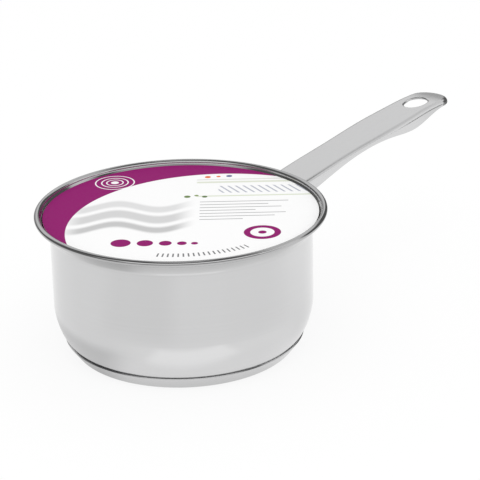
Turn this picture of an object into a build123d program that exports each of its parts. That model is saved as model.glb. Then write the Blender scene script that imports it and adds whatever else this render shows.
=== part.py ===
from build123d import *
import os
from math import asin, atan2, cos, degrees, radians, sin, tan

# Milk pan for one litre, in millimetres. Z is up, the origin is the centre of the underside of the
# base, and the handle points along +X.

# Pan body: one drawn sheet
wall_radius = 70.6  # outer radius of the straight wall
pan_sheet = 0.6
corner_radius = 37.4  # outer radius of the turned lower corner
foot_radius = 7.5  # outer radius of the tighter turn under the seam
seam_slope = 57.5  # slope of the wall where the corner meets the foot turn, in degrees
flare_start = 67.0  # height where the pouring flare leaves the wall
flare_slope = 57.0  # slope of the flare above the level, in degrees
flare_bend_radius = 4.5
flare_width = 7.9  # how far the curled edge stands out past the wall
curl_radius = 1.6  # outer radius of the curled edge's tube
curl_neck_radius = 1.2  # the small turn between the flare and the curl
curl_turn = 285.0  # how far round the edge is curled, in degrees

# Sandwich base
disc_thickness = 3.9  # aluminium under the floor
cap_sheet = 0.5
cap_edge_radius = 2.8  # outer radius of the cap's bottom edge
cap_slope = 54.0  # slope of the cap's side, in degrees
seam_gap = 0.3  # the fine groove between the cap's lip and the body
groove_depth = 0.7

# Handle: one pressed sheet, open below
handle_sheet = 1.2
handle_length = 158.1  # from the saddle to the tip
root_half_width = 12.6
neck_half_width = 12.8
waist_half_width = 12.7
grip_half_width = 13.6
crown_half_width = 12.3
tip_round = 12.6  # length of the rounded tip
root_drop = 0.4  # from the foot of the flare down to the handle's top at the saddle
neck_rise = 6.3  # each station's rise from the one before
waist_rise = 4.6
grip_rise = 4.1
heel_rise = 3.1
crown_rise = 2.0
tip_drop = 0.7  # how far the tip droops from the crown
root_skirt = 10.4  # depth of the side skirt at the saddle
neck_skirt = 6.2
waist_skirt = 3.4
grip_skirt = 4.7
heel_skirt = 8.1  # the deep part that the hand closes on
crown_skirt = 4.6
tip_skirt = 2.9
fold_inner_radius = 1.4  # inside radius of the fold between top and skirt
neck_share = 0.21  # places along the handle, as shares of its length
waist_share = 0.40
grip_share = 0.59
heel_share = 0.75
crown_share = 0.88

# Hanging hole
hole_half_length = 8.8
hole_half_width = 6.3
hole_share = 0.847
hole_edge_radius = 0.9  # rounding of its upper edge

# Saddle bracket
bracket_sheet = 1.5
saddle_half_width = 20.0
saddle_height = 23.6
saddle_corner = 5.0
tongue_length = 33.0
tongue_leg = 3.0  # depth of the tongue's legs at its end
gusset_rise = 7.0  # from the saddle's bottom edge up to the foot of the legs
gusset_length = 16.0  # how far the deep part of the legs reaches from the saddle
tongue_corner = 4.0
clearance = 0.3  # between the tongue's legs and the skirts, and between the card and the flare

# Welds
weld_radius = 2.2
weld_dimple = 0.2  # how far a weld lies below the face
weld_inset = 4.0  # distance of the saddle welds from its side edges
weld_rows = 3
weld_margin = 4.5  # distance of the end rows from the saddle's top and bottom edges
plug_welds = 2
plug_weld_first = 11.0  # distance of the first plug weld from the saddle
plug_weld_spacing = 13.0

# Printed card that lies in the rim
card_overlap = 3.4  # how far the card reaches past the wall's outer face
card_thickness = 0.6

overrun = 1.0  # how far each cut passes the face it goes through

os.makedirs("parts", exist_ok=True)


def save(piece, name):
    piece.label = name
    export_step(piece, "parts/" + name + ".step")


# Places on the pan's section, worked out from the sizes above
half_sheet = pan_sheet / 2
floor_bottom = cap_sheet + disc_thickness
corner_mid = corner_radius - half_sheet
foot_mid = foot_radius - half_sheet
curl_mid = curl_radius - half_sheet
wall_mid = wall_radius - half_sheet
seam_sin = sin(radians(seam_slope))
seam_cos = cos(radians(seam_slope))
flare_sin = sin(radians(flare_slope))
flare_cos = cos(radians(flare_slope))
floor_radius = wall_mid - foot_mid * seam_sin - corner_mid * (1 - seam_sin)
seam_radius = floor_radius + foot_radius * seam_sin
seam_height = floor_bottom + foot_radius * (1 - seam_cos)
flare_run = flare_width - 2 * curl_mid
flare_run -= (flare_bend_radius + curl_neck_radius) * (1 - flare_sin)


def pan_line():
    """Draws the middle line of the pan's sheet, from the axis to the end of the curl."""
    floor_height = floor_bottom + half_sheet
    floor = Line((0, floor_height), (floor_radius, floor_height))
    foot = JernArc(floor @ 1, floor % 1, foot_mid, seam_slope)
    corner = JernArc(foot @ 1, foot % 1, corner_mid, 90 - seam_slope)
    wall = Line(corner @ 1, (wall_mid, flare_start))
    bend = JernArc(wall @ 1, wall % 1, flare_bend_radius, flare_slope - 90)
    flare = PolarLine(bend @ 1, flare_run / flare_cos, direction=bend % 1)
    neck = JernArc(flare @ 1, flare % 1, curl_neck_radius, 90 - flare_slope)
    JernArc(neck @ 1, neck % 1, curl_mid, -curl_turn)


# Pan body
with BuildPart() as pan_body:
    with BuildSketch(Plane.XZ) as pan_section:
        with BuildLine() as pan_path:
            pan_line()
        trace(pan_path.edges(), line_width=pan_sheet)
    revolve(axis=Axis.Z)
save(pan_body.part, "pan_body")

# Base cap: its lip stops short of the body by the groove
cap_sin = sin(radians(cap_slope))
cap_cos = cos(radians(cap_slope))
cap_edge_mid = cap_edge_radius - cap_sheet / 2
lip_offset = seam_gap + cap_sheet / 2
lip_radius = seam_radius + lip_offset * seam_sin
lip_height = seam_height - lip_offset * seam_cos
side_bottom = cap_sheet / 2 + cap_edge_mid * (1 - cap_cos)
cap_floor_radius = lip_radius - (lip_height - side_bottom) / tan(radians(cap_slope))
cap_floor_radius -= cap_edge_mid * cap_sin

with BuildPart() as base_cap:
    with BuildSketch(Plane.XZ) as cap_section:
        with BuildLine() as cap_path:
            cap_floor = Line((0, cap_sheet / 2), (cap_floor_radius, cap_sheet / 2))
            cap_edge = JernArc(cap_floor @ 1, cap_floor % 1, cap_edge_mid, cap_slope)
            Line(cap_edge @ 1, (lip_radius, lip_height))
        trace(cap_path.edges(), line_width=cap_sheet)
    revolve(axis=Axis.Z)
save(base_cap.part, "base_cap")

# Aluminium disc: it fills the cap and follows the body's turned foot up to the groove
groove_turn = seam_slope - degrees(groove_depth / foot_radius)
groove_radius = lip_radius - groove_depth * cap_cos - cap_sheet / 2 * cap_sin
groove_height = lip_height - groove_depth * cap_sin + cap_sheet / 2 * cap_cos

with BuildPart() as heat_spreader_disc:
    with BuildSketch(Plane.XZ) as disc_section:
        with BuildLine() as disc_outline:
            disc_floor = Line((0, cap_sheet), (cap_floor_radius, cap_sheet))
            disc_edge = JernArc(disc_floor @ 1, disc_floor % 1, cap_edge_radius - cap_sheet, cap_slope)
            disc_side = Line(disc_edge @ 1, (groove_radius, groove_height))
            disc_top = Line((0, floor_bottom), (floor_radius, floor_bottom))
            disc_foot = JernArc(disc_top @ 1, disc_top % 1, foot_radius, groove_turn)
            Line(disc_side @ 1, disc_foot @ 1)
            Line(disc_floor @ 0, disc_top @ 0)
        make_face()
    revolve(axis=Axis.Z)
save(heat_spreader_disc.part, "heat_spreader_disc")

# Stations along the handle. It starts inside the saddle and is then cut to the saddle's curve.
saddle_radius = wall_radius + bracket_sheet
handle_start = (saddle_radius**2 - root_half_width**2) ** 0.5 - overrun
handle_tip = saddle_radius + handle_length
root_height = flare_start - root_drop
neck_place = saddle_radius + neck_share * handle_length
waist_place = saddle_radius + waist_share * handle_length
grip_place = saddle_radius + grip_share * handle_length
heel_place = saddle_radius + heel_share * handle_length
crown_place = saddle_radius + crown_share * handle_length
hole_place = saddle_radius + hole_share * handle_length
neck_height = root_height + neck_rise
waist_height = neck_height + waist_rise
grip_height = waist_height + grip_rise
heel_height = grip_height + heel_rise
crown_height = heel_height + crown_rise
tip_height = crown_height - tip_drop

top_points = [
    (handle_start, root_height),
    (neck_place, neck_height),
    (waist_place, waist_height),
    (grip_place, grip_height),
    (heel_place, heel_height),
    (crown_place, crown_height),
    (handle_tip, tip_height),
]
skirts = [root_skirt, neck_skirt, waist_skirt, grip_skirt, heel_skirt, crown_skirt, tip_skirt]
skirt_points = [(x, z - depth) for (x, z), depth in zip(top_points, skirts)]
handle_peak = max(z for x, z in top_points) + overrun
side_points = [
    (handle_start, root_half_width),
    (neck_place, neck_half_width),
    (waist_place, waist_half_width),
    (grip_place, grip_half_width),
    (handle_tip - tip_round, crown_half_width),
]


def handle_form(inset, side_gap, fold, lower_points):
    """The handle's outer form, drawn in by the inset and the side gap, above a lower line."""
    side_inset = inset + side_gap
    reach = max(y for x, y in side_points) + overrun
    ahead = [(1, 0), (1, 0)]
    with BuildPart() as form:
        with BuildSketch(Plane.XY):
            with BuildLine():
                near = Spline([(x, side_inset - y) for x, y in side_points], tangents=ahead)
                far = Spline([(x, y - side_inset) for x, y in side_points], tangents=ahead)
                Line(near @ 0, far @ 0)
                EllipticalCenterArc(
                    (handle_tip - tip_round, 0),
                    tip_round - side_inset,
                    crown_half_width - side_inset,
                    start_angle=-90,
                    arc_size=180,
                )
            make_face()
        extrude(amount=handle_peak)
        with BuildSketch(Plane.XZ.offset(reach)):
            with BuildLine():
                top = Spline([(x, z - inset) for x, z in top_points])
                bottom = Spline(lower_points)
                Line(top @ 0, bottom @ 0)
                Line(top @ 1, bottom @ 1)
            make_face()
        extrude(amount=-2 * reach, mode=Mode.INTERSECT)
        top_face = form.faces().sort_by(SortBy.AREA)[-2:].sort_by(Axis.Z)[-1]
        fillet(top_face.edges().sort_by(Axis.X)[1:], radius=fold)
    return form.part


def lowered(points, depth):
    return [(x, z - depth) for x, z in points]


# Handle shell: the blank less its hollow, with a rounded edge round the hanging hole
fold_radius = fold_inner_radius + handle_sheet
handle_blank = handle_form(0, 0, fold_radius, skirt_points)
handle_hollow = handle_form(handle_sheet, 0, fold_inner_radius, lowered(skirt_points, overrun))
crown_slope = degrees(atan2(crown_height - heel_height, crown_place - heel_place))
hole_height = heel_height + (hole_place - heel_place) * tan(radians(crown_slope))
hole_plane = Plane(
    origin=(hole_place, 0, hole_height),
    x_dir=(cos(radians(crown_slope)), 0, sin(radians(crown_slope))),
    z_dir=(-sin(radians(crown_slope)), 0, cos(radians(crown_slope))),
)

with BuildPart() as handle_shell:
    add(handle_blank)
    add(handle_hollow, mode=Mode.SUBTRACT)
    with BuildSketch(hole_plane.offset(-handle_sheet - overrun)):
        Ellipse(hole_half_length, hole_half_width)
    extrude(amount=handle_sheet + 2 * overrun, mode=Mode.SUBTRACT)
    with BuildSketch(Plane.XY):
        Circle(saddle_radius)
    extrude(amount=handle_peak, mode=Mode.SUBTRACT)
    hole_rims = handle_shell.edges().filter_by(
        lambda edge: abs(edge.bounding_box().size.Y - 2 * hole_half_width) < clearance
    )
    fillet(hole_rims.sort_by(Axis.Z)[-1], radius=hole_edge_radius)
save(handle_shell.part, "handle_shell")

# Handle bracket: a saddle on the wall, with a tongue that is nested inside the handle's root
saddle_bottom = root_height - saddle_height
gusset_bottom = saddle_bottom + gusset_rise
gusset_end = saddle_radius + gusset_length
root_slope = (neck_height - root_height) / (neck_place - handle_start)
tongue_low = lowered(top_points, handle_sheet + tongue_leg)
gusset_low = tongue_low[0][1] + root_slope * (gusset_end - handle_start)
leg_points = [(handle_start, gusset_bottom), (gusset_end, gusset_low)] + tongue_low[1:]
hollow_low = lowered(leg_points, overrun)
tongue_blank = handle_form(handle_sheet, clearance, fold_inner_radius, leg_points)
tongue_hollow = handle_form(handle_sheet + bracket_sheet, clearance, fold_inner_radius, hollow_low)

with BuildPart() as tongue:
    add(tongue_blank)
    add(tongue_hollow, mode=Mode.SUBTRACT)
    with BuildSketch(Plane.XY):
        with Locations((saddle_radius, 0)):
            RectangleRounded(2 * tongue_length, 2 * root_half_width, tongue_corner)
    extrude(amount=handle_peak, mode=Mode.INTERSECT)
    with BuildSketch(Plane.XY):
        Circle(wall_radius + bracket_sheet / 2)
    extrude(amount=handle_peak, mode=Mode.SUBTRACT)

weld_angle = degrees(asin((saddle_half_width - weld_inset) / wall_radius))
weld_step = (saddle_height - 2 * weld_margin) / (weld_rows - 1)
weld_planes = [
    Plane(
        origin=(0, 0, saddle_bottom + weld_margin + row * weld_step),
        x_dir=(-sin(radians(angle)), cos(radians(angle)), 0),
        z_dir=(cos(radians(angle)), sin(radians(angle)), 0),
    )
    for row in range(weld_rows)
    for angle in (-weld_angle, weld_angle)
]
plug_weld_start = saddle_radius + plug_weld_first
plug_places = [(plug_weld_start + count * plug_weld_spacing, 0) for count in range(plug_welds)]

with BuildPart() as handle_bracket:
    with BuildSketch(Plane.XY.offset(saddle_bottom)):
        Circle(saddle_radius)
        Circle(wall_radius, mode=Mode.SUBTRACT)
    extrude(amount=saddle_height)
    with BuildSketch(Plane.YZ):
        with Locations((0, saddle_bottom + saddle_height / 2)):
            RectangleRounded(2 * saddle_half_width, saddle_height, saddle_corner)
    extrude(amount=saddle_radius + overrun, mode=Mode.INTERSECT)
    add(tongue.part)
    with BuildSketch(*[plane.offset(wall_radius - overrun) for plane in weld_planes]):
        Circle(weld_radius)
    extrude(amount=bracket_sheet + 2 * overrun, mode=Mode.SUBTRACT)
    with BuildSketch(Plane.XY):
        with Locations(*plug_places):
            Circle(weld_radius)
    extrude(amount=handle_peak, mode=Mode.SUBTRACT)
save(handle_bracket.part, "handle_bracket")

# Spot welds that fill the saddle's holes, a little below its face
with BuildPart() as bracket_welds:
    with BuildSketch(*[plane.offset(wall_radius - overrun) for plane in weld_planes]):
        Circle(weld_radius)
    extrude(amount=bracket_sheet + 2 * overrun)
    with BuildSketch(Plane.XY.offset(saddle_bottom)):
        Circle(saddle_radius - weld_dimple)
        Circle(wall_radius, mode=Mode.SUBTRACT)
    extrude(amount=saddle_height, mode=Mode.INTERSECT)
save(bracket_welds.part, "bracket_welds")

# Plug welds that fill the tongue's holes and hold the handle's top sheet
weld_depth = handle_sheet + bracket_sheet - weld_dimple
weld_hollow = handle_form(weld_depth, clearance, fold_inner_radius, hollow_low)

with BuildPart() as handle_welds:
    add(tongue_blank)
    add(weld_hollow, mode=Mode.SUBTRACT)
    with BuildSketch(Plane.XY):
        with Locations(*plug_places):
            Circle(weld_radius)
    extrude(amount=handle_peak, mode=Mode.INTERSECT)
save(handle_welds.part, "handle_welds")

# Printed card: it rests on the flare, one clearance above the sheet
card_radius = wall_radius + card_overlap
flare_foot = wall_mid + flare_bend_radius * (1 - flare_sin)
flare_foot_height = flare_start + flare_bend_radius * flare_cos
card_reach = card_radius - flare_foot + (half_sheet + clearance) / flare_sin
card_bottom = flare_foot_height + card_reach * tan(radians(flare_slope))

with BuildPart() as card_insert:
    with BuildSketch(Plane.XY.offset(card_bottom)):
        Circle(card_radius)
    extrude(amount=card_thickness)
save(card_insert.part, "card_insert")
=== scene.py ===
from math import asin, cos, pi, radians

import bpy
from mathutils import Euler, Matrix, Vector


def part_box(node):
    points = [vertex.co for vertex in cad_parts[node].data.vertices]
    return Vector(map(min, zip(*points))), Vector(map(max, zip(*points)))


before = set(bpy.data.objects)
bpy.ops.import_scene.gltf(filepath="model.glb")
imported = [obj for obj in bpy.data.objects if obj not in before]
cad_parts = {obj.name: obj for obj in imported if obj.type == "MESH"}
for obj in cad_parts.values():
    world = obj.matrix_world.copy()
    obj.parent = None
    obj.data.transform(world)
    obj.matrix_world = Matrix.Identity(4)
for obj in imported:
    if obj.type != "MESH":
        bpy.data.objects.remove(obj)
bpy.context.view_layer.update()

# A small steel milk pan, in metres. Z is up, the handle points along +X and the pan stands on z = 0.

mm = 0.001
weld_low, weld_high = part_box("bracket_welds")
card_low, card_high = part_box("card_insert")
rim_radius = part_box("pan_body")[1].y

flare_foot = card_low.z - 8.1 * mm  # height where the wall ends and the pouring flare begins
wall_radius = rim_radius - 7.9 * mm
weld_radius = 2.2 * mm
weld_rows = 3

# Camera, as the photograph was taken
handle_turn = radians(47.0)  # the handle points this far away from the picture's right
camera_tilt = radians(21.81)
camera_roll = radians(1.27)
camera_distance = 0.9924
camera_aside = 0.03008
camera_above = 0.05486
camera_lens = 135.0
camera_film = 36.0


def set_camera():
    """Places the camera where the photograph was taken from."""
    level = Euler((pi / 2 - camera_tilt, 0, -handle_turn)).to_matrix()
    turned = level @ Matrix.Rotation(-camera_roll, 3, "Z")
    place = turned @ Vector((camera_aside, camera_above, camera_distance))
    bpy.ops.object.camera_add(location=place)
    camera = bpy.context.active_object
    camera.name = "camera"
    camera.rotation_euler = turned.to_euler()
    camera.data.lens = camera_lens
    camera.data.sensor_width = camera_film
    bpy.context.scene.camera = camera


# Node helpers


def new_material(name):
    """An empty node material, its tree and its output node."""
    material = bpy.data.materials.new(name)
    material.use_nodes = True
    tree = material.node_tree
    tree.nodes.clear()
    output = tree.nodes.new("ShaderNodeOutputMaterial")
    return material, tree, output


def add_node(tree, kind, inputs=(), **settings):
    """Adds a node. Inputs are (socket, value) pairs, where a value may be another node's output."""
    made = tree.nodes.new("ShaderNode" + kind)
    for setting, value in settings.items():
        setattr(made, setting, value)
    for socket, value in inputs:
        if isinstance(value, bpy.types.NodeSocket):
            tree.links.new(value, made.inputs[socket])
        else:
            made.inputs[socket].default_value = value
    return made


def math(tree, operation, first, second=0.0):
    return add_node(tree, "Math", ((0, first), (1, second)), operation=operation).outputs[0]


def total(tree, *values):
    result = values[0]
    for value in values[1:]:
        result = math(tree, "ADD", result, value)
    return result


def product(tree, *values):
    result = values[0]
    for value in values[1:]:
        result = math(tree, "MULTIPLY", result, value)
    return result


def largest(tree, *values):
    result = values[0]
    for value in values[1:]:
        result = math(tree, "MAXIMUM", result, value)
    return result


def inverted(tree, value):
    return math(tree, "SUBTRACT", 1.0, value)


def split(tree, vector):
    made = add_node(tree, "SeparateXYZ", ((0, vector),))
    return made.outputs[0], made.outputs[1], made.outputs[2]


def joined(tree, x, y, z):
    return add_node(tree, "CombineXYZ", ((0, x), (1, y), (2, z))).outputs[0]


def object_place(tree):
    return add_node(tree, "TexCoord").outputs["Object"]


def outward(tree):
    """The surface's own direction in the piece's coordinates."""
    return add_node(tree, "TexCoord").outputs["Normal"]


def turned_place(tree, place, scale=1.0):
    """Turns a place so that x is the picture's right and y points away from the camera."""
    inputs = (("Vector", place), ("Rotation", (0, 0, handle_turn)), ("Scale", (scale, scale, scale)))
    return add_node(tree, "Mapping", inputs).outputs[0]


def distance(tree, place, centre):
    return add_node(tree, "VectorMath", ((0, place), (1, centre)), operation="DISTANCE").outputs["Value"]


def noise(tree, place, scale, detail=3.0, roughness=0.5):
    inputs = (("Vector", place), ("Scale", scale), ("Detail", detail), ("Roughness", roughness))
    return add_node(tree, "TexNoise", inputs).outputs[0]


def ranged(tree, value, low, high, new_low=0.0, new_high=1.0):
    inputs = ((0, value), (1, low), (2, high), (3, new_low), (4, new_high))
    return add_node(tree, "MapRange", inputs).outputs[0]


def eased(tree, value, low, high, new_low=0.0, new_high=1.0):
    """As ranged, with soft ends."""
    inputs = ((0, value), (1, low), (2, high), (3, new_low), (4, new_high))
    return add_node(tree, "MapRange", inputs, interpolation_type="SMOOTHSTEP").outputs[0]


def between(tree, value, low, high, soft):
    """One between two values and nothing outside them, with soft edges."""
    start = eased(tree, value, low - soft, low + soft)
    end = eased(tree, value, high - soft, high + soft, 1.0, 0.0)
    return product(tree, start, end)


def sector(tree, turn, first, last, soft):
    """One between two directions and nothing outside them. Its limits are in degrees."""
    return between(tree, turn, radians(first), radians(last), radians(soft))


def blend(tree, share, first, second, mode="MIX"):
    inputs = ((0, share), (6, first), (7, second))
    return add_node(tree, "Mix", inputs, data_type="RGBA", blend_type=mode).outputs[2]


def grey(level):
    return (level, level, level * 1.006, 1.0)


# Steel finishes: how light and how rough each one is, and how fine its polishing lines are

bright_grey = 0.655
rim_shade_grey = 0.50  # painted shade on the curled rim and the top of the flare, darker than the wall
satin_grey = 0.60
pressed_grey = 0.56  # the bracket, and the channel below the handle
base_grey = 0.62
weld_grey = 0.40
aluminium_tone = (0.74, 0.74, 0.75, 1.0)
stain = (0.42, 0.40, 0.37, 1.0)
straw = (0.50, 0.42, 0.27, 1.0)

bright_rough = 0.085
handle_rough = 0.13
base_rough = 0.12
turned_rough = 0.24
satin_rough = 0.27
channel_rough = 0.3

fine_lines = 5200.0
line_strength = 0.35
line_depth = 0.05 * mm
ring_spacing = 0.7 * mm  # of the rings turned under the base
tint_width = 1.6 * mm  # of the heat tint round a spot weld
mark_inner = 1.4 * mm  # a weld's mark inside the pan is full to here
mark_outer = 2.0 * mm
mark_stain = 0.35
rim_shade_start = flare_foot - 1.0 * mm  # where the painted shade on the rim begins
rim_shade_full = flare_foot + 6.5 * mm


def axis_distance(tree, place):
    x, y = split(tree, place)[:2]
    return math(tree, "SQRT", total(tree, product(tree, x, x), product(tree, y, y)))


def finished_steel(tree, output, colour, rough, lines, depth=line_depth):
    """Joins a colour, a roughness and the polishing lines into a metal surface."""
    bump = add_node(tree, "Bump", (("Strength", line_strength), ("Distance", depth), ("Height", lines)))
    inputs = (("Base Color", colour), ("Metallic", 1.0), ("Roughness", rough), ("Normal", bump.outputs[0]))
    shader = add_node(tree, "BsdfPrincipled", inputs)
    tree.links.new(shader.outputs[0], output.inputs[0])


def smudged(tree, place, gloss, smudge):
    """A roughness that changes a little in faint clouds, as wiped steel does."""
    clouds = noise(tree, place, 38.0, 4.0, 0.6)
    return ranged(tree, clouds, 0.3, 0.75, gloss, gloss + smudge)


def toned(tree, colour, lines, spread):
    """Lets a colour follow the polishing lines very slightly."""
    tone = ranged(tree, lines, 0.3, 0.7, 1.0 - spread, 1.0 + spread)
    return blend(tree, 1.0, colour, joined(tree, tone, tone, tone), "MULTIPLY")


def weld_marks(tree, place):
    """The distance to the nearest spot weld, and one on the handle's side of the pan."""
    x, y, z = split(tree, place)
    aside = weld_high.y - weld_radius * cos(asin(weld_high.y / wall_radius))
    first = weld_low.z + weld_radius
    step = (weld_high.z - weld_low.z - 2 * weld_radius) / (weld_rows - 1)
    mark_place = joined(tree, math(tree, "ABSOLUTE", y), z, 0.0)
    nearest = distance(tree, mark_place, (aside, first, 0.0))
    for row in range(1, weld_rows):
        gap = distance(tree, mark_place, (aside, first + row * step, 0.0))
        nearest = math(tree, "MINIMUM", nearest, gap)
    return nearest, math(tree, "GREATER_THAN", x, 0.0)


def inside_pan(tree, place, z):
    """One on the inner face below the flare, which looks towards the middle of the flare's foot."""
    inputs = ((0, place), (1, (0, 0, -flare_foot)))
    from_middle = add_node(tree, "VectorMath", inputs, operation="ADD").outputs[0]
    inputs = ((0, outward(tree)), (1, from_middle))
    facing = add_node(tree, "VectorMath", inputs, operation="DOT_PRODUCT").outputs["Value"]
    below_flare = math(tree, "LESS_THAN", z, flare_foot)
    return product(tree, math(tree, "LESS_THAN", facing, 0.0), below_flare)


def polished_steel():
    """The pan's sheet: bright outside with painted shade on the rim, satin inside with faint weld marks."""
    material, tree, output = new_material("polished_steel")
    place = object_place(tree)
    x, y, z = split(tree, place)
    lines_place = joined(tree, axis_distance(tree, place), 0.0, z)
    lines = noise(tree, lines_place, fine_lines, 2.0)
    broad_lines = noise(tree, lines_place, 900.0)
    bands = noise(tree, joined(tree, x, y, 0.0), 26.0, 2.0, 0.4)
    inside = inside_pan(tree, place, z)
    nearest, handle_side = weld_marks(tree, place)
    mark = product(tree, eased(tree, nearest, mark_inner, mark_outer, 1.0, 0.0), handle_side, inside)

    outer = toned(tree, toned(tree, grey(bright_grey), broad_lines, 0.006), bands, 0.018)
    # painted shade: the sheet darkens from just below the flare's foot up to the curled rim
    outer = blend(tree, eased(tree, z, rim_shade_start, rim_shade_full), outer, grey(rim_shade_grey))
    inner = toned(tree, grey(satin_grey), lines, 0.03)
    colour = blend(tree, inside, outer, inner)
    colour = blend(tree, product(tree, mark, mark_stain), colour, stain)

    outer_rough = smudged(tree, place, bright_rough, 0.03)
    inner_rough = smudged(tree, place, satin_rough, 0.05)
    rough = ranged(tree, inside, 0.0, 1.0, outer_rough, inner_rough)
    line_share = ranged(tree, inside, 0.0, 1.0, 0.12, 1.0)
    height = math(tree, "ADD", product(tree, lines, line_share), product(tree, mark, -2.0))
    finished_steel(tree, output, colour, rough, height, 0.06 * mm)
    return material


def handle_steel():
    """The handle's sheet: polished along its length on top, left satin in the channel below."""
    material, tree, output = new_material("handle_steel")
    place = object_place(tree)
    x, y, z = split(tree, place)
    lines_place = joined(tree, product(tree, x, 0.02), y, z)
    lines = noise(tree, lines_place, fine_lines, 2.0)
    broad_lines = noise(tree, lines_place, 700.0)
    below = math(tree, "LESS_THAN", split(tree, outward(tree))[2], -0.35)
    colour = toned(tree, grey(bright_grey), broad_lines, 0.008)
    colour = blend(tree, below, colour, grey(pressed_grey))
    rough = ranged(tree, below, 0.0, 1.0, smudged(tree, place, handle_rough, 0.04), channel_rough)
    height = product(tree, lines, ranged(tree, below, 0.0, 1.0, 0.3, 1.0))
    finished_steel(tree, output, colour, rough, height)
    return material


def base_steel():
    """The base cap: polished at its side, with turned rings across the underside."""
    material, tree, output = new_material("base_steel")
    place = object_place(tree)
    z = split(tree, place)[2]
    radius = axis_distance(tree, place)
    under = eased(tree, z, 0.2 * mm, 0.5 * mm, 1.0, 0.0)
    lines = noise(tree, joined(tree, radius, 0.0, z), fine_lines, 2.0)
    rings = math(tree, "SINE", product(tree, radius, 2 * pi / ring_spacing))
    height = math(tree, "ADD", product(tree, lines, 0.3), product(tree, rings, under, 0.6))
    colour = toned(tree, grey(base_grey), lines, 0.012)
    rough = ranged(tree, under, 0.0, 1.0, smudged(tree, place, base_rough, 0.04), turned_rough)
    finished_steel(tree, output, colour, rough, height)
    return material


def bracket_steel():
    """The bracket: pressed satin sheet with a straw heat tint round each spot weld."""
    material, tree, output = new_material("bracket_steel")
    place = object_place(tree)
    x, y, z = split(tree, place)
    lines = noise(tree, joined(tree, x, product(tree, y, 0.05), z), 4200.0, 2.0)
    nearest = weld_marks(tree, place)[0]
    tint = between(tree, nearest, weld_radius, weld_radius + tint_width, tint_width / 2)
    colour = toned(tree, grey(pressed_grey), lines, 0.02)
    colour = blend(tree, product(tree, tint, 0.5), colour, straw)
    finished_steel(tree, output, colour, smudged(tree, place, 0.26, 0.06), lines)
    return material


def weld_metal():
    """Spot weld faces: dull, a little pitted and unevenly stained."""
    material, tree, output = new_material("weld_metal")
    place = object_place(tree)
    pits = noise(tree, place, 2600.0, 4.0, 0.6)
    colour = toned(tree, grey(weld_grey), noise(tree, place, 420.0), 0.12)
    finished_steel(tree, output, colour, ranged(tree, pits, 0.3, 0.7, 0.34, 0.48), pits, 0.12 * mm)
    return material


def aluminium():
    """The heat spreading disc, which shows only as a fine line in the groove."""
    material, tree, output = new_material("aluminium_disc")
    place = object_place(tree)
    z = split(tree, place)[2]
    lines = noise(tree, joined(tree, axis_distance(tree, place), 0.0, z), 3800.0, 2.0)
    colour = toned(tree, aluminium_tone, lines, 0.03)
    finished_steel(tree, output, colour, smudged(tree, place, 0.32, 0.08), lines, 0.08 * mm)
    return material


# Printed card: a generic print on white board, drawn in millimetres as the camera sees it, u to the
# right and v away

card_white = (0.90, 0.90, 0.90, 1.0)
board = (0.80, 0.78, 0.74, 1.0)
magenta = (0.27, 0.012, 0.145, 1.0)
slate = (0.17, 0.20, 0.30, 1.0)
ink = (0.10, 0.10, 0.11, 1.0)
tick_ink = (0.05, 0.05, 0.055, 1.0)
orange = (0.75, 0.16, 0.04, 1.0)
navy = (0.14, 0.16, 0.30, 1.0)
print_edge = 0.16  # softness of a printed edge
band_edge = 0.5
print_rough = 0.5
board_rough = 0.85
card_gloss = 1.09  # its refractive index, low because the print is matt


def above(tree, value, edge, soft=print_edge):
    return eased(tree, value, edge - soft, edge + soft)


def disc(tree, plan, centre, radius, soft=print_edge):
    return inverted(tree, above(tree, distance(tree, plan, (*centre, 0.0)), radius, soft))


def ring(tree, plan, centre, radius, width):
    gap = math(tree, "SUBTRACT", distance(tree, plan, (*centre, 0.0)), radius)
    return inverted(tree, above(tree, math(tree, "ABSOLUTE", gap), width / 2))


def box(tree, u, v, left, right, near, far, soft=print_edge):
    return product(tree, between(tree, u, left, right, soft), between(tree, v, near, far, soft))


def stripes(tree, value, period, width):
    """One on each stripe of a width, once in every period."""
    place = math(tree, "PINGPONG", value, period / 2)
    return inverted(tree, above(tree, place, width / 2))


def crescent(tree, plan, colour):
    """A broad magenta crescent along the left and far edge, with white drop ripples on it."""
    field = inverted(tree, disc(tree, plan, (22.0, -24.0), 82.0))
    colour = blend(tree, field, colour, magenta)
    drop = (-38.0, 47.0)
    ripples = disc(tree, plan, drop, 2.2)
    for size in (4.6, 7.4, 10.8):
        ripples = largest(tree, ripples, ring(tree, plan, drop, size, 0.7))
    return blend(tree, product(tree, ripples, field), colour, card_white)


def soft_waves(tree, u, v, colour):
    """Soft pale grey waves across the left."""
    wave_length = 46.0
    wave_height = 5.0
    swell = product(tree, math(tree, "SINE", product(tree, u, 2 * pi / wave_length)), wave_height)
    height = math(tree, "SUBTRACT", v, swell)
    along = between(tree, u, -58.0, 2.0, 7.0)
    for middle, width, level in ((8.0, 9.0, 0.60), (-7.0, 11.0, 0.50), (-22.0, 8.0, 0.38)):
        across = between(tree, height, middle - width / 2, middle + width / 2, 2.2)
        colour = blend(tree, product(tree, across, along, 0.7), colour, grey(level))
    return colour


def woven_bands(tree, u, v, colour):
    """Blue-grey slanted stripes and pale green bands towards the far right."""
    slant = math(tree, "ADD", u, product(tree, v, 0.55))
    field = box(tree, u, v, 20.0, 70.0, 27.0, 38.0, band_edge)
    slanted = product(tree, stripes(tree, slant, 4.2, 1.3), field)
    colour = blend(tree, product(tree, slanted, 0.6), colour, slate)
    for near, far, tint in (
        (43.0, 45.6, (0.62, 0.66, 0.52, 1.0)),
        (48.0, 49.2, (0.55, 0.55, 0.50, 1.0)),
        (21.5, 23.0, (0.55, 0.62, 0.42, 1.0)),
    ):
        band = box(tree, u, v, 8.0, 72.0, near, far, band_edge)
        colour = blend(tree, product(tree, band, 0.75), colour, tint)
    return colour


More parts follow.
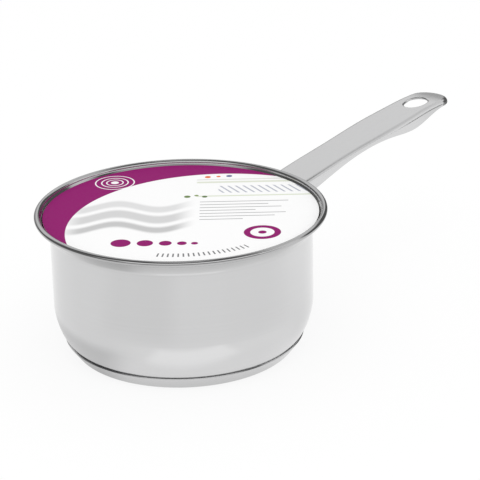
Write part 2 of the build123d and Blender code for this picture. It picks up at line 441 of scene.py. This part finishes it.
def colour_chips(tree, plan, colour):
    """Small orange and navy dots near the far edge, and green ones near the middle."""
    for centre, radius, tint in (
        ((14.0, 53.0), 1.7, orange),
        ((20.0, 53.5), 1.2, orange),
        ((26.0, 54.0), 1.7, navy),
        ((3.0, 22.0), 1.8, (0.16, 0.24, 0.09, 1.0)),
        ((8.0, 23.5), 1.2, (0.24, 0.32, 0.13, 1.0)),
        ((12.5, 21.5), 1.5, (0.13, 0.20, 0.08, 1.0)),
    ):
        colour = blend(tree, disc(tree, plan, centre, radius), colour, tint)
    return colour


def ruled_lines(tree, u, v, colour):
    """Plain grey rules of uneven length on the right."""
    first = 13.0
    spacing = 4.4
    thickness = 0.8
    for line, end in enumerate((58.0, 47.0, 54.0, 40.0, 56.0, 50.0, 33.0)):
        near = first - spacing * line
        rule = box(tree, u, v, 10.0, end, near, near + thickness)
        colour = blend(tree, product(tree, rule, 0.72), colour, ink)
    return colour


def front_dots(tree, plan, colour):
    """A row of magenta dots that shrink to the right, and a magenta ring."""
    ring_place = (43.0, -33.0)
    for place, size in ((-30.0, 5.2), (-17.5, 4.2), (-7.0, 3.3), (1.5, 2.5), (8.0, 1.8)):
        colour = blend(tree, disc(tree, plan, (place, -46.0 - place * 0.06), size), colour, magenta)
    colour = blend(tree, ring(tree, plan, ring_place, 8.0, 3.4), colour, magenta)
    return blend(tree, disc(tree, plan, ring_place, 2.2), colour, magenta)


def edge_scale(tree, plan, u, v, colour):
    """Evenly spaced ticks along an arc near the front edge."""
    inner = 60.0
    outer = 64.5
    out = distance(tree, plan, (0.0, 0.0, 0.0))
    turn = math(tree, "ARCTAN2", u, product(tree, v, -1.0))
    ticks = stripes(tree, product(tree, turn, 62.0), 2.6, 0.8)
    arc = between(tree, turn, -0.20, 0.62, 0.004)
    band = product(tree, between(tree, out, inner, outer, print_edge), arc)
    return blend(tree, product(tree, ticks, band, 0.85), colour, tick_ink)


def printed_card():
    """The loose card: the print on its upper face, bare board at its edge and underneath."""
    material, tree, output = new_material("printed_card")
    place = object_place(tree)
    x, y, z = split(tree, place)
    plan = turned_place(tree, joined(tree, x, y, 0.0), 1.0 / mm)
    u, v = split(tree, plan)[:2]
    colour = card_white
    colour = soft_waves(tree, u, v, colour)
    colour = woven_bands(tree, u, v, colour)
    colour = colour_chips(tree, plan, colour)
    colour = ruled_lines(tree, u, v, colour)
    colour = front_dots(tree, plan, colour)
    colour = edge_scale(tree, plan, u, v, colour)
    colour = crescent(tree, plan, colour)
    printed = math(tree, "GREATER_THAN", z, card_high.z - 0.1 * mm)
    fibres = noise(tree, place, 900.0, 5.0, 0.7)
    colour = blend(tree, printed, toned(tree, board, fibres, 0.05), toned(tree, colour, fibres, 0.006))
    rough = ranged(tree, printed, 0.0, 1.0, board_rough, print_rough)
    waves = noise(tree, place, 14.0, 1.0)
    height = math(tree, "ADD", product(tree, fibres, 0.04), waves)
    bump = add_node(tree, "Bump", (("Strength", 0.2), ("Distance", 0.4 * mm), ("Height", height)))
    inputs = (("Base Color", colour), ("Roughness", rough), ("IOR", card_gloss), ("Normal", bump.outputs[0]))
    shader = add_node(tree, "BsdfPrincipled", inputs)
    tree.links.new(shader.outputs[0], output.inputs[0])
    return material


def set_finishes():
    """Gives each CAD node its finish."""
    weld_finish = weld_metal()
    for node, finish in (
        ("pan_body", polished_steel()),
        ("base_cap", base_steel()),
        ("heat_spreader_disc", aluminium()),
        ("handle_bracket", bracket_steel()),
        ("bracket_welds", weld_finish),
        ("handle_shell", handle_steel()),
        ("handle_welds", weld_finish),
        ("card_insert", printed_card()),
    ):
        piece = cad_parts[node]
        piece.data.materials.clear()
        piece.data.materials.append(finish)


# Studio: a white table in a light tent that has dark gaps overhead, towards the horizon and behind
# the handle's tip. Only reflections see the gaps. Turns are measured from straight away towards the
# right, and heights from the horizon, both in degrees. Places on the table are in metres.

white = (1.0, 1.0, 1.0, 1.0)
matt_white = (0.95, 0.95, 0.95, 1.0)

tent_light = 0.88
gap_light = 0.12
low_light = 0.45  # towards the horizon
side_light = 1.0  # towards the picture's right
low_edge_near = 24.0  # height of the horizon's dark edge, behind the camera
low_edge_away = 17.5
upper_share = 0.16  # how dark the upper tent is, of a full gap
gap_share = 0.85  # the same of the gaps overhead and to the left
panel_light = 0.5  # of the lit panel behind the camera

# The edge of the flare's gaps is where up = gap_height - gap_slope * away + gap_bend * right ** 2
gap_height = 0.318
gap_slope = 0.528
gap_bend = 0.188

# The dark flag behind the handle's tip
flag_light = 0.15
flag_near = 12.0
flag_far = 70.0
flag_far_below = 54.0  # on the table, short of what the handle's skirt reflects
flag_soft = 3.0
flag_height = 28.0
flag_foot = 0.29

# The table, and what is added to its light near the pan
table_light = 0.93
table_side_light = 1.02
table_edge = 0.44
table_fade = 0.12
matt_share = 0.14  # of the table that takes the pan's shadow
patch_box = (-0.03, 0.052, -0.113, -0.078)  # the lit patch in front: left, right, near and far
patch_soft = 0.008
patch_gain = 0.13
far_gain = 0.09
near_gain = 0.08
dip_gain = -0.06
left_gain = -0.2
contact_shade_gain = -0.16

lamp_place = Vector((-0.6, -0.4, 1.4))
lamp_width = 1.2
lamp_power = 3.0


def ray_kinds(tree):
    """The camera ray, and the reflected or transmitted ray, each as one or nothing."""
    path = add_node(tree, "LightPath")
    mirrored = largest(tree, path.outputs["Is Glossy Ray"], path.outputs["Is Transmission Ray"])
    return path.outputs["Is Camera Ray"], mirrored


def table_lit(tree, u, v, out):
    """The table's light near the pan: a lit patch in front, soft shades and a painted contact shadow round
    the pan's foot.
    """
    front_turn = math(tree, "ARCTAN2", u, product(tree, v, -1.0))  # from straight in front
    patch = product(tree, box(tree, u, v, *patch_box, patch_soft), patch_gain)
    far_side = eased(tree, math(tree, "ADD", v, product(tree, u, 0.3)), -0.04, 0.14, 0.0, far_gain)
    near = sector(tree, front_turn, -30, 75, 16)
    near = product(tree, near, eased(tree, out, 0.105, 0.145, 1.0, 0.0), near_gain)
    dip = sector(tree, front_turn, -54, -6, 10)
    dip = product(tree, dip, eased(tree, out, 0.12, 0.15), dip_gain)
    left_shade = sector(tree, front_turn, -120, -38, 12)
    left_shade = product(tree, left_shade, eased(tree, out, 0.078, 0.105, 1.0, 0.0), left_gain)
    # painted contact shadow: the table's light in reflections darkens close to the pan's foot
    contact = eased(tree, out, 0.058, 0.069, contact_shade_gain, 0.0)
    return total(tree, patch, far_side, near, dip, left_shade, contact, table_light)


def table_level(tree, plan):
    """How light the table is in reflections. u is the picture's right and v points away."""
    u, v = split(tree, plan)[:2]
    out = distance(tree, plan, (0.0, 0.0, 0.0))
    edge = eased(tree, out, 0.26, table_edge, 1.0, 0.5)
    beyond = eased(tree, out, table_edge, table_edge + table_fade, 1.0, 0.3)
    turn = math(tree, "ARCTAN2", u, v)
    flag = sector(tree, turn, flag_near, flag_far_below, flag_soft)
    flag = product(tree, flag, eased(tree, out, flag_foot, flag_foot + 0.05))
    flagged = ranged(tree, flag, 0.0, 1.0, 1.0, flag_light)
    light = product(tree, table_lit(tree, u, v, out), edge, beyond, flagged)
    right = product(tree, eased(tree, u, 0.22, 0.27), between(tree, v, -0.15, 0.215, 0.015))
    return ranged(tree, right, 0.0, 1.0, light, table_side_light)


def set_floor():
    """The staged white table, which glows so that it looks plain white and keeps a faint shadow."""
    bpy.ops.object.select_all(action="DESELECT")
    bpy.ops.mesh.primitive_circle_add(vertices=64, radius=3.0, fill_type="NGON", location=(0, 0, 0))
    floor = bpy.context.active_object
    floor.name = "floor"
    material, tree, output = new_material("white_floor")
    light = table_level(tree, turned_place(tree, object_place(tree)))
    camera, mirrored = ray_kinds(tree)
    strength = ranged(tree, mirrored, 0.0, 1.0, 1.0, light)
    matt = add_node(tree, "BsdfDiffuse", (("Color", matt_white),))
    glow = add_node(tree, "Emission", (("Color", white), ("Strength", strength)))
    share = product(tree, largest(tree, camera, mirrored), 1.0 - matt_share)
    mixed = add_node(tree, "MixShader", ((0, share), (1, matt.outputs[0]), (2, glow.outputs[0])))
    tree.links.new(mixed.outputs[0], output.inputs[0])
    floor.data.materials.append(material)


def side_gaps(tree, x, y, z, height):
    """One in the dark gaps that the inside of the flare reflects, to the front and to both sides."""
    gap_path = total(tree, z, product(tree, y, gap_slope), product(tree, x, x, -gap_bend), -gap_height)
    front = product(tree, eased(tree, gap_path, -0.10, -0.02), eased(tree, y, 0.30, 0.45, 1.0, 0.0))
    side_panel = product(tree, eased(tree, x, 0.36, 0.5), eased(tree, y, -0.2, -0.05))
    side_panel = product(tree, side_panel, eased(tree, gap_path, 0.1, 0.2))
    front = product(tree, front, inverted(tree, side_panel))
    sides = product(tree, between(tree, gap_path, -0.15, 0.15, 0.05), eased(tree, y, -0.05, 0.1))
    gaps = product(tree, largest(tree, front, sides), eased(tree, x, 0.80, 0.88, 1.0, 0.0))
    return product(tree, gaps, eased(tree, height, radians(75), radians(82), 1.0, 0.0))


def tent_level(tree, x, y, z):
    """How light the tent is in each direction. x is the picture's right, y away and z up."""
    turn = math(tree, "ARCTAN2", x, y)
    height = math(tree, "ARCSINE", z)
    away = eased(tree, y, -0.5, 0.5)
    low_edge = ranged(tree, away, 0.0, 1.0, radians(low_edge_near), radians(low_edge_away))
    over_edge = math(tree, "SUBTRACT", height, low_edge)
    light = eased(tree, over_edge, radians(-4), radians(4), low_light, tent_light)
    right = sector(tree, turn, 76, 118, 3)
    light = ranged(tree, right, 0.0, 1.0, light, side_light)

    upper = eased(tree, height, radians(34), radians(47), 0.0, upper_share)
    overhead = product(tree, sector(tree, height, 57, 73, 5), gap_share)
    left = product(tree, sector(tree, turn, -135, -50, 6), gap_share)
    left = product(tree, left, eased(tree, height, radians(38), radians(46), 1.0, 0.0))
    flag = sector(tree, turn, flag_near, flag_far, flag_soft)
    below_flag = eased(tree, height, radians(flag_height) - 0.05, radians(flag_height) + 0.05, 1.0, 0.0)
    flag = product(tree, flag, below_flag)
    dark = largest(tree, side_gaps(tree, x, y, z, height), upper, overhead, left, flag)
    light = ranged(tree, dark, 0.0, 1.0, light, gap_light)
    panel = sector(tree, height, 16, 48, 5)
    panel = product(tree, eased(tree, y, -0.25, -0.45), panel, panel_light)
    return total(tree, light, panel)


def set_world():
    """The light tent, which the camera and the matt surfaces see as plain white."""
    world = bpy.data.worlds.new("light_tent")
    bpy.context.scene.world = world
    world.use_nodes = True
    tree = world.node_tree
    tree.nodes.clear()
    output = tree.nodes.new("ShaderNodeOutputWorld")
    direction = turned_place(tree, add_node(tree, "TexCoord").outputs["Generated"])
    mirrored = ray_kinds(tree)[1]
    level = ranged(tree, mirrored, 0.0, 1.0, 1.0, tent_level(tree, *split(tree, direction)))
    sky = add_node(tree, "Background", (("Color", white), ("Strength", level)))
    tree.links.new(sky.outputs[0], output.inputs[0])


def set_lamp():
    """One soft lamp over the left shoulder, which gives the floor its faint shadow."""
    bpy.ops.object.light_add(type="AREA", location=lamp_place)
    lamp = bpy.context.active_object
    lamp.name = "soft_lamp"
    lamp.data.shape = "DISK"
    lamp.data.size = lamp_width
    lamp.data.energy = lamp_power
    lamp.visible_glossy = False
    lamp.rotation_euler = (-lamp_place).to_track_quat("-Z", "Y").to_euler()


set_finishes()
set_camera()
set_floor()
set_world()
set_lamp()

bpy.context.scene.view_settings.view_transform = "Standard"
